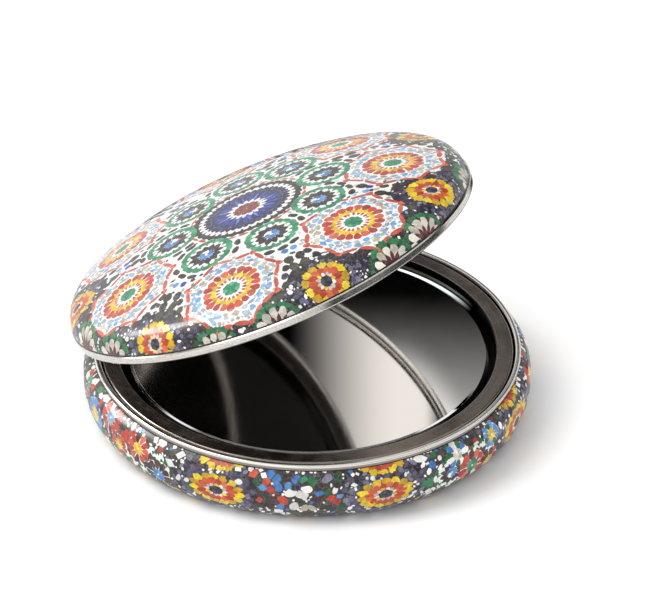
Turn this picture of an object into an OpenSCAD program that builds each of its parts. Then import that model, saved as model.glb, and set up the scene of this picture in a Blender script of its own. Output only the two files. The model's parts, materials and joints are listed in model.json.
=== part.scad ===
// Round compact mirror: a printed metal case in two halves, a mirror in each, bevelled in the base,
// joined by a small pin hinge at the back. Millimetres, +Z up.
// The origin is the centre of the flat bottom. The hinge is at +Y and its axis runs along X.
// The lid is drawn open, as it stands on a table with its front edge raised.

/* [Case] */
// Widest diameter of the base
case_d = 70; // [66:0.5:76]
// Height of the base from the table to the parting plane
base_h = 10.6; // [10.2:0.1:12]
// Radius of the rounded bottom edge of the base
corner_r = 5.2; // [4.8:0.1:5.4]
// Height of the straight stretch in the base's side
side_h = 1.7; // [1:0.1:1.8]
// Distance from the widest part of the base in to its mouth
mouth_in = 1.6; // [1.4:0.05:1.8]
// Height of the lid from its lower edge to the middle of its dome
lid_h = 10.2; // [9.6:0.1:11.5]
// How far the lid's printed side stands in from the base's mouth
lid_in = 0.1; // [0.05:0.05:0.3]
// Radius of the lid's rounded shoulder
shoulder_r = 4.2; // [4.1:0.05:4.4]
// Height of the middle of the shoulder's round above the lid's lower edge
shoulder_h = 1.5; // [1.45:0.05:1.6]
// Sheet thickness of both shells
wall = 0.5; // [0.4:0.05:0.6]
// Thickness of the printed and lacquered skin
print_t = 0.3; // [0.2:0.05:0.35]

/* [Rim and bezel] */
// Height of the base's bright bead
bead_h = 1; // [0.9:0.05:1.2]
// Width of the base's bead
bead_w = 0.9; // [0.85:0.05:1]
// Radius of the bead's rounded edges
bead_r = 0.35; // [0.2:0.05:0.4]
// Height of the lid's satin band
band_h = 1.4; // [1.3:0.1:1.6]
// How far the lid's band stands out from the lid's printed side
band_out = 0.2; // [0.1:0.05:0.3]
// Width of the dark groove between bead and bezel
groove_w = 0.25; // [0.2:0.05:0.35]
// Width of the bezel's flat face
bezel_w = 2.7; // [2.5:0.1:2.8]
// How far the bezel's face lies behind the parting plane
bezel_back = 0.15; // [0.1:0.05:0.25]
// Depth of the bezel ring
bezel_h = 2.45; // [2.4:0.05:2.6]
// Radius of the bezel's rounded edges
bezel_r = 0.35; // [0.2:0.05:0.4]
// Width of the narrow lip of the lid's bezel
lid_lip_w = 0.6; // [0.5:0.05:0.7]

/* [Mirrors] */
// Depth from the base bezel's face down to its glass
mirror_back = 1.2; // [1.1:0.05:1.3]
// Thickness of the base's glass
glass_t = 1.8; // [1.6:0.05:1.9]
// Depth from the face of the lid's lip down to its glass
lid_mirror_back = 0.4; // [0.3:0.05:0.5]
// Thickness of the lid's glass
lid_glass_t = 1.2; // [1:0.05:1.25]
// Width of the ground bevel round the base's glass
bevel_w = 1.5; // [1:0.1:2]
// Depth of that bevel at the edge of the glass
bevel_h = 0.6; // [0.4:0.05:0.8]
// Gap between the edge of the glass and the bezel
glass_gap = 0.15; // [0.1:0.05:0.3]
// Thickness of the foam pad behind the glass
pad_t = 0.4; // [0.3:0.05:0.5]
// How far the pad stops short of the edge of the glass
pad_in = 1.5; // [1:0.1:3]

/* [Trays] */
// Thickness of the plate that carries each mirror
tray_t = 1; // [0.8:0.05:1.2]
// Width of the raised rim that carries the bezel
tray_rim_w = 0.8; // [0.6:0.05:0.85]
// Distance from the bezel's opening in to the ring wall under the base's plate
base_foot_in = 3.7; // [3.2:0.1:6]
// Distance from the bezel's opening in to the ring wall over the lid's plate
lid_foot_in = 9.7; // [8:0.1:12]
// Thickness of both ring walls
foot_t = 1.2; // [1:0.1:1.6]
// Gap left between the lid's ring wall and its dome
dome_gap = 0.1; // [0.05:0.05:0.2]

/* [Magnets] */
// Diameter of the closing magnets
magnet_d = 2; // [1.6:0.1:2.1]
// Height of the base's magnet
magnet_h = 1.95; // [1.6:0.05:2]
// Height of the lid's magnet, which lies behind the glass
lid_magnet_h = 0.6; // [0.5:0.05:0.65]
// Gap round a magnet in its pocket
magnet_gap = 0.05; // [0.03:0.01:0.08]

/* [Hinge] */
// How far the lid's front stands open, in degrees from closed
open_angle = 25.7; // [0:0.1:110]
// Gap between the beads when the case is closed
closed_gap = 0.2; // [0.15:0.05:0.3]
// Distance of the pin's axis outside the base's mouth
hinge_out = 1; // [0.95:0.05:1.1]
// Distance of the pin's axis below the parting plane
hinge_drop = 6.1; // [6:0.1:6.3]
// Diameter of the hinge pin
pin_d = 1; // [0.8:0.05:1.1]
// Gap round the pin in its bores
pin_gap = 0.04; // [0.03:0.01:0.06]
// Diameter of the pin's headed ends
pin_head_d = 1.7; // [1.5:0.1:2]
// Thickness of the pin's headed ends
pin_head_t = 0.35; // [0.3:0.05:0.5]
// Outer diameter of the knuckles
knuckle_d = 2.3; // [2.2:0.05:2.4]
// Length of the lid's knuckle
lid_knuckle_w = 6; // [5:0.5:7]
// Length of each of the base's knuckles
base_knuckle_w = 4.3; // [4:0.1:5]
// Gap between neighbouring knuckles
knuckle_gap = 0.15; // [0.1:0.05:0.25]
// Thickness of the hinge leaves
leaf_t = 0.8; // [0.6:0.05:0.9]
// Gap round the hinge in the window of the base
window_gap = 0.3; // [0.25:0.05:0.4]
// Length of the base leaf's foot along the floor
leaf_foot = 6.6; // [6:0.1:7]
// Distance of the base leaf's upright in from the edge of the flat floor
leaf_in = 1.2; // [1:0.1:2]
// Gap between the lid leaf and the parts it passes
lid_leaf_gap = 0.2; // [0.15:0.05:0.25]
// Gap between the lid leaf and the lid's band, filled by the weld
lid_leaf_seat = 0.05; // [0.02:0.01:0.1]

/* [Rivets] */
// Shank diameter of the rivets in the base
base_rivet_d = 1.6; // [1.4:0.1:1.8]
// Head diameter of the base's rivets
base_rivet_head_d = 2.8; // [2.4:0.1:3]
// Distance between the base's rivets
base_rivet_pitch = 8; // [6:0.5:10]
// How far the base's rivets stop above the underside
base_rivet_up = 0.1; // [0.05:0.05:0.2]
// Height of a rivet's head
rivet_head_h = 0.5; // [0.3:0.05:0.55]
// Gap round a rivet in its hole
rivet_gap = 0.02; // [0.01:0.01:0.04]

/* [Hidden] */
$fn = 128;

// Radii, measured from the case's axis
case_r = case_d / 2;
mouth_r = case_r - mouth_in;
lid_r = mouth_r - lid_in;
band_r = lid_r + band_out;
bezel_out_r = mouth_r - bead_w - groove_w;
bezel_in_r = bezel_out_r - bezel_w;
seat_r = mouth_r - bead_w;
glass_r = bezel_in_r - glass_gap;
lid_lip_r = bezel_out_r - lid_lip_w;
lid_glass_r = lid_lip_r - glass_gap;
tray_r = bezel_in_r + tray_rim_w;
magnet_r = (bezel_in_r + bezel_out_r) / 2;
base_foot_r = bezel_in_r - base_foot_in;
lid_foot_r = bezel_in_r - lid_foot_in;
floor_r = case_r - corner_r;
skin_t = wall + print_t;

// Heights in the base
widest_h = corner_r + side_h;
mouth_h = base_h - bead_h;
flare_h = mouth_h - widest_h;
flare_r = (mouth_in * mouth_in + flare_h * flare_h) / (2 * mouth_in);
flare_a = asin(flare_h / flare_r);

// The ledge under the base's bead reaches down to this share of the flare's height
ledge_share = 0.37;
ledge_h = widest_h + ledge_share * flare_h;

// The print stops a little way up the rounded bottom edge, at this angle below level
print_a = 78;

// Shoulder of the lid: its arc runs up to this angle, where the dome begins
shoulder_a = 69;
shoulder_x = lid_r - shoulder_r;
dome_r = shoulder_x + shoulder_r * cos(shoulder_a);
dome_h = shoulder_h + shoulder_r * sin(shoulder_a);
// The dome falls with this power of the radius, which makes it meet the shoulder smoothly
dome_power = dome_r / tan(shoulder_a) / (lid_h - dome_h);

// Depths behind the parting plane
bezel_rear = bezel_back + bezel_h;
glass_face = bezel_back + mirror_back;
glass_rear = glass_face + glass_t;
pad_rear = glass_rear + pad_t;
lid_glass_face = bezel_back + lid_mirror_back;
lid_glass_rear = lid_glass_face + lid_glass_t;
lid_pad_rear = lid_glass_rear + pad_t;

// Hinge
hinge_y = mouth_r + hinge_out;
hinge_z = base_h - hinge_drop;
knuckle_r = knuckle_d / 2;
hinge_w = lid_knuckle_w + 2 * (knuckle_gap + base_knuckle_w);
leaf_y = floor_r - leaf_in;
cut = 5;
arc_steps = 12;
dome_steps = 16;

// Points along an arc, from angle a to angle b
function arc(centre, r, a, b, n = arc_steps) =
    [for (i = [0:n]) centre + r * [cos(a + (b - a) * i / n), sin(a + (b - a) * i / n)]];

// Height of the dome at radius r, and how steeply it falls there
function dome_z(r) = lid_h - (lid_h - dome_h) * pow(r / dome_r, dome_power);
function dome_fall(r) = pow(r / dome_r, dome_power - 1) / tan(shoulder_a);

// Points over the dome of the lid, sunk by t, from its edge to the axis
function dome(t) =
    [for (i = [1:dome_steps])
        let (r = dome_r * (1 - i / dome_steps), a = atan(dome_fall(r)))
            [r - t * sin(a), dome_z(r) - t * cos(a)]];

// Outer line of the base from the bottom edge to the mouth, sunk by t
function base_side(t, a) = concat(
    arc([floor_r, corner_r], corner_r - t, -a, 0),
    arc([case_r - flare_r, widest_h], flare_r - t, 0, flare_a)
);

// Outer line of the lid from its band to the middle of its dome, sunk by t
function lid_side(t) = concat(
    [[lid_r - t, band_h]],
    arc([shoulder_x, shoulder_h], shoulder_r - t, 0, shoulder_a),
    dome(t)
);

module ring(points) rotate_extrude() polygon(points);

module disc(r, h) cylinder(r = r, h = h);

// Turns a piece drawn with its face up at height zero into its place in the base
module in_base() translate([0, 0, base_h]) mirror([0, 0, 1]) children();

// Carries a piece drawn on the closed lid to the open lid
module in_lid() {
    translate([0, hinge_y, hinge_z]) rotate([-open_angle, 0, 0])
        translate([0, -hinge_y, base_h + closed_gap - hinge_z]) children();
}

// Window in the base for the knuckles, and the slot above it for the lid's leaf
module hinge_window() {
    window_w = hinge_w + 2 * (pin_head_t + window_gap);
    window_h = knuckle_d + 2 * window_gap;
    slot_w = lid_knuckle_w + 2 * window_gap;
    translate([-window_w / 2, hinge_y - cut, hinge_z - window_h / 2])
        cube([window_w, 2 * cut, window_h]);
    translate([-slot_w / 2, hinge_y - cut, hinge_z])
        cube([slot_w, 2 * cut, mouth_h - hinge_z + print_t]);
}

module base_rivet_holes(r) {
    for (side = [-1, 1])
        translate([side * base_rivet_pitch / 2, leaf_y - leaf_foot / 2, -cut])
            cylinder(r = r, h = 2 * cut);
}

// Metal ring round a mouth, drawn upwards from the parting plane
module mouth_ring(outer_r, h) {
    ring(concat(
        [[seat_r, h]],
        arc([seat_r + bead_r, bead_r], bead_r, 180, 270),
        arc([outer_r - bead_r, bead_r], bead_r, 270, 360),
        [[outer_r, h]]
    ));
}

// Ring of a bezel, with its inner outline, its width and a pocket behind it for a magnet
module bezel_ring(inner, w, pocket_h) {
    round_r = min(bezel_r, w / 3);
    difference() {
        ring(concat(
            inner,
            arc([bezel_out_r - w + round_r, bezel_back + round_r], round_r, 180, 270),
            arc([bezel_out_r - round_r, bezel_back + round_r], round_r, 270, 360),
            [[bezel_out_r, bezel_rear]]
        ));
        translate([0, -magnet_r, bezel_rear - pocket_h - magnet_gap])
            cylinder(d = magnet_d + 2 * magnet_gap, h = cut);
    }
}

module foam_pad(rear) translate([0, 0, rear]) disc(glass_r - pad_in, pad_t);

module magnet(h) translate([0, -magnet_r, bezel_rear - h]) disc(magnet_d / 2, h);

// Ring wall behind a tray's plate, out to foot_end
module tray(front, foot_r, plate_rear, foot_end) {
    ring(concat(front, [
        [tray_r, plate_rear], [foot_r, plate_rear], [foot_r, foot_end],
        [foot_r - foot_t, foot_end], [foot_r - foot_t, plate_rear], [0, plate_rear]
    ]));
}

module base_shell() {
    color("#8d8f90") difference() {
        ring(concat(
            [[0, 0]],
            arc([floor_r, corner_r], corner_r, -90, -print_a, 2),
            base_side(print_t, print_a),
            [[mouth_r - print_t, mouth_h], [seat_r, mouth_h], [seat_r, ledge_h]],
            [[case_r - skin_t, widest_h]],
            arc([floor_r, corner_r], corner_r - skin_t, 0, -90),
            [[0, skin_t]]
        ));
        hinge_window();
        base_rivet_holes(base_rivet_d / 2 + rivet_gap);
    }
}

module base_print() {
    color("#7a5a6b") difference() {
        ring(concat(
            base_side(0, print_a),
            [[mouth_r, mouth_h], [mouth_r - print_t, mouth_h]],
            [for (i = [len(base_side(0, print_a)) - 1:-1:0]) base_side(print_t, print_a)[i]]
        ));
        hinge_window();
    }
}

module base_rim() color("#d9d9d6") in_base() mouth_ring(mouth_r, bead_h);

module base_bezel() {
    color("#4d4744") in_base() bezel_ring([[bezel_in_r, bezel_rear]], bezel_w, magnet_h);
}

module base_tray() {
    notch_w = hinge_w + 2 * (pin_head_t + window_gap);
    color("#1c1c1e") difference() {
        in_base() tray(
            [[0, pad_rear], [bezel_in_r, pad_rear], [bezel_in_r, bezel_rear], [tray_r, bezel_rear]],
            base_foot_r, pad_rear + tray_t, base_h - skin_t
        );
        translate([-notch_w / 2, 0, skin_t - cut])
            cube([notch_w, case_r, base_h - pad_rear - tray_t - skin_t + cut]);
    }
}

module base_pad() color("#e8e6e0") in_base() foam_pad(glass_rear);

// Glass with a ground bevel
module base_mirror() {
    color("#b9bec2") in_base() ring([
        [0, glass_face], [glass_r - bevel_w, glass_face], [glass_r, glass_face + bevel_h],
        [glass_r, glass_rear], [0, glass_rear]
    ]);
}

module base_magnet() color("#a8a8ac") in_base() magnet(magnet_h);

// Foot on the floor, upright, arms out through the window, and two knuckles
module base_hinge_leaf() {
    color("#9a9a9c") difference() {
        union() {
            translate([-hinge_w / 2, leaf_y - leaf_foot, skin_t]) cube([hinge_w, leaf_foot, leaf_t]);
            translate([-hinge_w / 2, leaf_y - leaf_t, skin_t])
                cube([hinge_w, leaf_t, hinge_z - skin_t + leaf_t / 2]);
            for (side = [-1, 1])
                translate([side * (hinge_w - base_knuckle_w) / 2, 0, 0]) {
                    translate([-base_knuckle_w / 2, leaf_y - leaf_t, hinge_z - leaf_t / 2])
                        cube([base_knuckle_w, hinge_y - leaf_y + leaf_t, leaf_t]);
                    translate([-base_knuckle_w / 2, hinge_y, hinge_z])
                        rotate([0, 90, 0]) cylinder(r = knuckle_r, h = base_knuckle_w);
                }
        }
        translate([-hinge_w, hinge_y, hinge_z])
            rotate([0, 90, 0]) cylinder(r = pin_d / 2 + pin_gap, h = 2 * hinge_w);
        base_rivet_holes(base_rivet_d / 2 + rivet_gap);
    }
}

module base_rivet(side) {
    color("#b4b4b4") translate([side * base_rivet_pitch / 2, leaf_y - leaf_foot / 2, 0]) {
        translate([0, 0, base_rivet_up]) cylinder(d = base_rivet_d, h = skin_t + leaf_t - base_rivet_up);
        translate([0, 0, skin_t + leaf_t]) cylinder(d = base_rivet_head_d, h = rivet_head_h);
    }
}

module base_rivet_1() base_rivet(-1);

module base_rivet_2() base_rivet(1);

module hinge_pin() {
    color("#c4c4c4") translate([0, hinge_y, hinge_z]) rotate([0, 90, 0]) {
        cylinder(d = pin_d, h = hinge_w + pin_head_t, center = true);
        for (side = [-1, 1])
            translate([0, 0, side * (hinge_w + pin_head_t) / 2])
                cylinder(d = pin_head_d, h = pin_head_t, center = true);
    }
}

module lid_shell() {
    color("#8d8f90") in_lid() ring(concat(
        lid_side(print_t),
        [for (i = [len(lid_side(0)) - 1:-1:1]) lid_side(skin_t)[i]],
        [[seat_r, band_h]]
    ));
}

module lid_print() {
    color("#86607a") in_lid() ring(concat(
        lid_side(0),
        [for (i = [len(lid_side(0)) - 1:-1:0]) lid_side(print_t)[i]]
    ));
}

module lid_rim() color("#d9d9d6") in_lid() mouth_ring(band_r, band_h);

// A narrow lip round the glass and a flange that reaches in behind it
module lid_bezel() {
    color("#4d4744") in_lid() bezel_ring(
        [[bezel_in_r, bezel_rear], [bezel_in_r, lid_glass_rear], [lid_lip_r, lid_glass_rear]],
        lid_lip_w, lid_magnet_h
    );
}

// Plate under the bezel's flange, raised in the middle to carry the pad
module lid_tray() {
    foot_end = dome_z(lid_foot_r) - dome_gap - skin_t / cos(atan(dome_fall(lid_foot_r)));
    color("#1c1c1e") in_lid() tray(
        [[0, lid_pad_rear], [glass_r, lid_pad_rear], [glass_r, bezel_rear], [tray_r, bezel_rear]],
        lid_foot_r, bezel_rear + tray_t, foot_end
    );
}

module lid_pad() color("#e8e6e0") in_lid() foam_pad(lid_glass_rear);

module lid_mirror() {
    color("#b9bec2") in_lid() translate([0, 0, lid_glass_face]) disc(lid_glass_r, lid_glass_t);
}

module lid_magnet() color("#a8a8ac") in_lid() magnet(lid_magnet_h);

// Knuckle below the parting plane, plate up past the base's bead, and a flange in to the lid's band
module lid_hinge_leaf() {
    pin_z = -hinge_drop - closed_gap;
    plate_y = mouth_r + lid_leaf_gap;
    flange_y = band_r + lid_leaf_seat;
    w = lid_knuckle_w;
    color("#9a9a9c") in_lid() difference() {
        union() {
            translate([-w / 2, hinge_y, pin_z]) rotate([0, 90, 0]) cylinder(r = knuckle_r, h = w);
            translate([-w / 2, plate_y, pin_z]) cube([w, leaf_t, band_h - pin_z]);
            translate([-w / 2, flange_y, band_h - leaf_t]) cube([w, plate_y + leaf_t - flange_y, leaf_t]);
        }
        translate([-w, hinge_y, pin_z])
            rotate([0, 90, 0]) cylinder(r = pin_d / 2 + pin_gap, h = 2 * w);
    }
}

base_shell();
base_print();
base_rim();
base_bezel();
base_tray();
base_pad();
base_mirror();
base_magnet();
base_hinge_leaf();
base_rivet_1();
base_rivet_2();
hinge_pin();
lid_shell();
lid_print();
lid_rim();
lid_bezel();
lid_tray();
lid_pad();
lid_mirror();
lid_magnet();
lid_hinge_leaf();
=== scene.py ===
# %% [markdown]
# # Dressing a round compact mirror
# The object is a pocket mirror in a printed tin case. It stands open on a white table. Its two
# halves, its mirrors, its bezels and its hinge come from CAD, already in place and in metres.
# This lesson adds what CAD leaves out: the printed mosaic skins, the finishes of metal, glass
# and plastic, the table, the light and the camera.

import json
import math
import random

import bpy
import numpy as np
from mathutils import Matrix, Vector
from mathutils.geometry import delaunay_2d_cdt


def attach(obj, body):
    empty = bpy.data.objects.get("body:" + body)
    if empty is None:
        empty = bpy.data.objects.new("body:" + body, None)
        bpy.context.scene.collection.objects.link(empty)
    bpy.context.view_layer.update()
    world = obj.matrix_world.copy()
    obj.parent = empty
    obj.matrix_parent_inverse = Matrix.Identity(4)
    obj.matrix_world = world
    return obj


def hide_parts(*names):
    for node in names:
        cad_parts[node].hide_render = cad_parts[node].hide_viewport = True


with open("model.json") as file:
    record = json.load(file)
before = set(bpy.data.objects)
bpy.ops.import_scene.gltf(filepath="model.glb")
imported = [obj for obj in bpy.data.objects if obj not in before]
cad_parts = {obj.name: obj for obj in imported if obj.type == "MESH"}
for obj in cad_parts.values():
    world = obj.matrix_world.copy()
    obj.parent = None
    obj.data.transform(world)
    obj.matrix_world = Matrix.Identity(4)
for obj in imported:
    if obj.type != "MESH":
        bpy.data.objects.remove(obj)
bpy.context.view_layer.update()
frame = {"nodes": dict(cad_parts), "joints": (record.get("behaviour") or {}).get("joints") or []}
MM = 0.001

# %% [markdown]
# ## Sizes that the finishes need
# The skins and some finishes follow the case's own curves, so they need a few of its sizes.
# Most could be read from the boxes of the CAD nodes, but the radii of the rounded corners can't,
# so the sizes of the two profiles are written here once, in millimetres, as on a drawing.

# %% The case's sizes in millimetres
CASE_R, CORNER_R = 35.0, 5.2
MOUTH_R, MOUTH_H, WIDEST_H = 33.4, 9.6, 6.9
MOUTH_IN, FLARE_H = CASE_R - MOUTH_R, MOUTH_H - WIDEST_H
FLARE_R = (MOUTH_IN ** 2 + FLARE_H ** 2) / (2 * MOUTH_IN)
FLARE_A = math.degrees(math.asin(FLARE_H / FLARE_R))
LID_R, LID_H, BAND_H = 33.3, 10.2, 1.4
SHOULDER_R, SHOULDER_H, SHOULDER_A = 4.2, 1.5, 69.0
PRINT_T, PRINT_A = 0.3, 78.0
GLASS_R, BEVEL_W = 29.4, 1.5
BASE_H, CLOSED_GAP, OPEN_A = 10.6, 0.2, 25.7
HINGE = Vector(frame["joints"][0]["pos_m"]) / MM
print("hinge in mm:", [round(x, 2) for x in HINGE])

# %% [markdown]
# ## From the closed lid to the open lid
# The lid's skin is easiest to draw on a level lid. One matrix then carries it to the open pose:
# it lifts the lid's edge to the parting plane and turns it about the hinge pin, exactly as the
# real lid moves.

# %% The open lid's matrix
lid_matrix = (Matrix.Translation(Vector((0, HINGE.y, HINGE.z)))
              @ Matrix.Rotation(math.radians(-OPEN_A), 4, "X")
              @ Matrix.Translation(Vector((0, -HINGE.y, BASE_H + CLOSED_GAP - HINGE.z))))
print("lid edge centre:", [round(x, 2) for x in lid_matrix @ Vector((0, 0, 0))])

# %% [markdown]
# ## A notation for shader nodes
# A procedural finish is arithmetic on patterns. Wiring that arithmetic by hand is long and hard
# to read, so one small class wraps a socket and lets Python's operators add the Math nodes. The
# reflected forms let a plain number stand first, as in 1 - mask.

# %% A socket in arithmetic
class Wire:
    """An output socket that can be used in Python arithmetic."""

    def __init__(self, finish, socket):
        self.finish, self.socket = finish, socket

    def _math(self, operation, a, b=0.0):
        return self.finish.add("Math", {"operation": operation}, {0: a, 1: b})

    def __add__(self, other):
        return self._math("ADD", self, other)

    def __sub__(self, other):
        return self._math("SUBTRACT", self, other)

    def __rsub__(self, other):
        return self._math("SUBTRACT", other, self)

    def __mul__(self, other):
        return self._math("MULTIPLY", self, other)

    def __truediv__(self, other):
        return self._math("DIVIDE", self, other)

    def __rtruediv__(self, other):
        return self._math("DIVIDE", other, self)

    def __pow__(self, other):
        return self._math("POWER", self, other)

    def __lt__(self, other):
        return self._math("LESS_THAN", self, other)

    def __gt__(self, other):
        return self._math("GREATER_THAN", self, other)

    __radd__, __rmul__ = __add__, __mul__

    def at_least(self, other):
        return self._math("MAXIMUM", self, other)

    def cosine(self):
        return self._math("COSINE", self)

    def clamped(self):
        """Keeps a value between 0 and 1."""
        return self.finish.add("Clamp", None, {0: self})

    def ramp(self, low, high, to_low=0.0, to_high=1.0):
        """Maps low..high smoothly to to_low..to_high."""
        return self.finish.add("MapRange", {"interpolation_type": "SMOOTHSTEP"},
                               {0: self, 1: low, 2: high, 3: to_low, 4: to_high})


print("a wire can do + - * / ** < > and", ", ".join(name for name in vars(Wire) if name[0] != "_"))

# %% [markdown]
# ## One class for every material
# Every other node comes from one method, add, which takes its type, its settings and the values
# or links of its sockets. On it stand a few short methods for the patterns that the finishes
# share. The same class also dresses the world, so the studio is written in the same notation.

# %% A finish under construction
class Finish:
    """A material, or the world, under construction."""

    def __init__(self, name="", owner=None, shader="Principled BSDF"):
        self.material = owner or bpy.data.materials.new(name)
        self.material.use_nodes = True
        self.tree = self.material.node_tree
        self.shader = self.tree.nodes[shader]

    def add(self, kind, settings=None, inputs=None, out=0):
        """Adds a node and returns one output of it, or several where out is a tuple."""
        node = self.tree.nodes.new("ShaderNode" + kind)
        for name, value in (settings or {}).items():
            setattr(node, name, value)
        for name, value in (inputs or {}).items():
            self.feed(node.inputs[name], value)
        if isinstance(out, tuple):
            return [Wire(self, node.outputs[key]) for key in out]
        return Wire(self, node.outputs[out])

    def feed(self, socket, value):
        if isinstance(value, Wire):
            self.tree.links.new(value.socket, socket)
        else:
            socket.default_value = value

    def set(self, **inputs):
        for name, value in inputs.items():
            self.feed(self.shader.inputs[name.replace("_", " ")], value)

    def place(self):
        """Where a point is on the piece at rest, in millimetres."""
        here = self.add("TexCoord", out="Object")
        return self.add("Mapping", {"vector_type": "POINT"}, {"Vector": here, "Scale": [1 / MM] * 3})

    def split(self, vector):
        return self.add("SeparateXYZ", None, {0: vector}, (0, 1, 2))

    def noise(self, vector, scale, detail=2.0, rough=0.5):
        return self.add("TexNoise", None, {"Vector": vector, "Scale": scale, "Detail": detail,
                                           "Roughness": rough})

    def blend(self, factor, a, b, how="MIX"):
        """Mixes two colours by factor."""
        return self.add("Mix", {"data_type": "RGBA", "blend_type": how}, {0: factor, 6: a, 7: b}, 2)

    def tinted(self, level, tint=(1, 1, 1)):
        """A number as a colour, with a share of it in each channel."""
        parts = [level if share == 1 else level * share for share in tint]
        return self.add("CombineXYZ", None, dict(enumerate(parts)))

    def bump(self, height, depth):
        """Depth is the real height of the relief, in metres."""
        return self.add("Bump", None, {"Height": height, "Distance": depth, "Strength": 1.0})

    def seen(self):
        """1 for what the camera, reflections and glass see, and 0 for the light on matt surfaces."""
        rays = tuple("Is %s Ray" % kind for kind in ("Camera", "Glossy", "Transmission"))
        by_camera, by_gloss, by_glass = self.add("LightPath", out=rays)
        return by_camera.at_least(by_gloss.at_least(by_glass))

    def give(self, *names):
        for name in names:
            obj = frame["nodes"].get(name) or bpy.data.objects[name]
            obj.data.materials.clear()
            obj.data.materials.append(self.material)
        print(self.material.name, "->", ", ".join(names))


print("a finish can", ", ".join(name for name in vars(Finish) if name[0] != "_"))

# %% [markdown]
# ## Colours
# Shaders work in linear light, while colours are easier to choose and compare as they are written
# on the web. One function turns such a code into the values that a shader takes.

# %% A colour from its code
def colour(code):
    parts = [int(code[i:i + 2], 16) / 255 for i in (1, 3, 5)]
    return tuple([c / 12.92 if c <= 0.04045 else ((c + 0.055) / 1.055) ** 2.4 for c in parts] + [1.0])


print("white is", colour("#ffffff"))

# %% [markdown]
# ## How the printed skins are built
# The case is covered with a picture of glazed tiles: rosettes, petals, ovals and small stones on
# a white ground. It could be painted in a shader, but hundreds of petals of many shapes make a
# very large node tree. Here the skin is one thin sheet, cut along the outline of every tile, and
# each face carries its tile's colour. The tiles are drawn flat, in millimetres along the surface,
# and the sheet is then laid over the case.

# %% A flat drawing of tiles
CELL, CROWDED_SHARE, SHADE_SPREAD = 0.1, 0.1, 0.16


class Drawing:
    """Tiles on a flat sheet. A later tile lies on top of an earlier one."""

    def __init__(self, low, high):
        self.tiles, self.low = [], low
        self.taken = np.zeros([int((h - l) / CELL) + 1 for l, h in zip(low, high)], bool)

    def cells(self, points):
        """The grid cells that an outline covers, as a slice and a mask."""
        p = (np.array(points) - self.low) / CELL
        a = np.maximum(np.floor(p.min(0)).astype(int), 0)
        b = np.minimum(np.ceil(p.max(0)).astype(int) + 1, self.taken.shape)
        if (b <= a).any():
            return None, None
        x, y = np.meshgrid(np.arange(a[0], b[0]), np.arange(a[1], b[1]), indexing="ij")
        inside = np.zeros(x.shape, bool)
        for (x0, y0), (x1, y1) in zip(p, np.roll(p, -1, 0)):
            if y0 != y1:
                crosses = (y0 > y) != (y1 > y)
                inside ^= crosses & (x < (x1 - x0) * (y - y0) / (y1 - y0) + x0)
        return (slice(a[0], b[0]), slice(a[1], b[1])), inside

    def ground(self, points, paint):
        """Paints a patch of plain ground, on which stones may still be laid."""
        self.tiles.append((points, list(paint[:3])))

    def tile(self, points, paint, free=False, vary=SHADE_SPREAD):
        """Adds a tile. With free, only where most of it is still bare ground."""
        where, inside = self.cells(points)
        if where is None:
            return False
        if free and (not inside.any() or self.taken[where][inside].mean() > CROWDED_SHARE):
            return False
        shade = 1 + random.uniform(-vary, vary)
        self.tiles.append((points, [c * shade for c in paint[:3]]))
        self.taken[where] |= inside
        return True


random.seed(7)
print("a drawing looks for room in cells of", CELL, "mm")

# %% [markdown]
# ## Tile shapes
# A mosaic of this kind has few shapes: a petal that is thin at its root and round at its tip, an
# oval, a dart, a dash and a bar. Each is an outline round a straight axis, given as pairs of how far
# along the axis and how wide there. A little disorder keeps them from looking stamped.

# %% Petals, ovals and darts
PETAL = [(0, 0.2), (0.35, 0.66), (0.7, 1.0), (0.9, 0.75), (1.0, 0.3)]
LOBE = [(0, 0.35), (0.3, 0.7), (0.55, 1.0), (0.78, 0.88), (0.95, 0.62), (1.0, 0.2)]
DART = [(0, 0.12), (0.3, 0.75), (0.6, 1.0), (0.85, 0.5), (1.0, 0.06)]
LENS = [(0, 0.1), (0.22, 0.75), (0.5, 1.0), (0.78, 0.75), (1.0, 0.1)]
OVAL = [(0, 0.35), (0.2, 0.85), (0.5, 1.0), (0.8, 0.85), (1.0, 0.35)]
TOOTH = [(0, 1.0), (0.5, 0.6), (1.0, 0.08)]
NOTCHED = [(0, 0.3), (0.3, 0.62), (0.6, 0.98), (0.84, 1.0), (1.0, 0.66), (0.9, 0.4), (1.1, 0.08)]
POINTED = [(0, 0.4), (0.35, 0.8), (0.6, 1.0), (0.8, 0.72), (1.0, 0.06)]
DASH = [(0, 0.25), (0.12, 0.8), (0.4, 1.0), (0.75, 0.9), (0.93, 0.6), (1.0, 0.15)]
BAR = [(0, 0.7), (0.1, 1.0), (0.9, 1.0), (1.0, 0.7)]


def shape(a, b, width, form, wobble=0.06):
    """The outline of a tile from point a to point b, as wide as width."""
    a, b = np.array(a, float), np.array(b, float)
    axis = b - a
    across = np.array((-axis[1], axis[0])) / max(np.hypot(*axis), 1e-6)

    def side(sign):
        return [a + axis * t + across * sign * width / 2 * w * (1 + random.uniform(-wobble, wobble) * 2)
                for t, w in form]
    return [tuple(p) for p in side(-1) + side(1)[::-1]]


print("forms:", len([PETAL, LOBE, DART, LENS, OVAL, TOOTH, NOTCHED, POINTED, DASH, BAR]))

# %% [markdown]
# ## Rings of tiles
# A flower is drawn as a tile setter lays it: a ring of petals at a time, each between two radii. On
# the base's low side the rings are squashed into ellipses, so every ring takes a squash too.

# %% Crowns, dashes and discs
def polar(centre, r, angle, squash=(1, 1)):
    return (centre[0] + squash[0] * r * math.cos(angle), centre[1] + squash[1] * r * math.sin(angle))


def outline(centre, r, sides, squash=(1, 1)):
    """The corners of a round patch."""
    return [polar(centre, r, 2 * math.pi * i / sides, squash) for i in range(sides)]


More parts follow.
